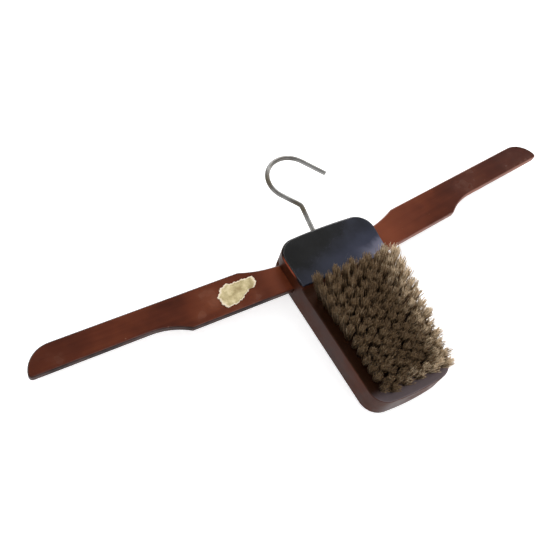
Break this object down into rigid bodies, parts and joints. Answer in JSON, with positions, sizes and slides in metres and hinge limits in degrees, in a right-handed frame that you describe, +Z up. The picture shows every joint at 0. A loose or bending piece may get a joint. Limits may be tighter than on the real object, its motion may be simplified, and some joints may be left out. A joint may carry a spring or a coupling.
{
  "type": "travelling coat hanger with clothes brush",
  "caption": "Wooden travelling coat hanger: two swinging flat arms held in the slot of a tapered clothes-brush block, with a turning wire hook at its end.",
  "frame": {"origin": "middle of the block's flat back, on the surface the hanger lies on", "axes": "+X along the arms to the right, +Y towards the hook, +Z up out of the bristles"},
  "size_m": [0.407, 0.1936, 0.0395],
  "materials": {
    "block_lacquer": "dark brown lacquer, worn gloss",
    "black_plate": "black, satin gloss",
    "arm_wood": "reddish brown lacquered wood",
    "steel": "dull steel",
    "hook_wire": "dull nickel plate",
    "bristle": "natural bristle"
  },
  "bodies": {
    "brush": {"brush_block": "block_lacquer", "front_plate": "black_plate", "left_pivot_screw": "steel", "right_pivot_screw": "steel", "hook_lock_pin": "steel", "bristle_row_01": "bristle", "bristle_row_02": "bristle", "bristle_row_03": "bristle", "bristle_row_04": "bristle", "bristle_row_05": "bristle", "bristle_row_06": "bristle", "bristle_row_07": "bristle", "bristle_row_08": "bristle", "bristle_row_09": "bristle", "bristle_row_10": "bristle", "bristle_row_11": "bristle", "bristle_row_12": "bristle"},
    "left_arm": {"left_arm": "arm_wood"},
    "right_arm": {"right_arm": "arm_wood"},
    "hook": {"hook": "hook_wire"}
  },
  "joints": [
    {"name": "left_arm_swing", "type": "hinge", "parent": "brush", "child": "left_arm", "pos_m": [-0.0265, 0.0423, 0.00975], "axis": [0, 0, -1], "range_deg": [-0.6, 59.4]},
    {"name": "right_arm_swing", "type": "hinge", "parent": "brush", "child": "right_arm", "pos_m": [0.0265, 0.0423, 0.00975], "axis": [0, 0, 1], "range_deg": [-6.6, 53.4]},
    {"name": "hook_turn", "type": "hinge", "parent": "brush", "child": "hook", "pos_m": [0, 0.0323, 0.00975], "axis": [0, 1, 0], "continuous": true}
  ]
}
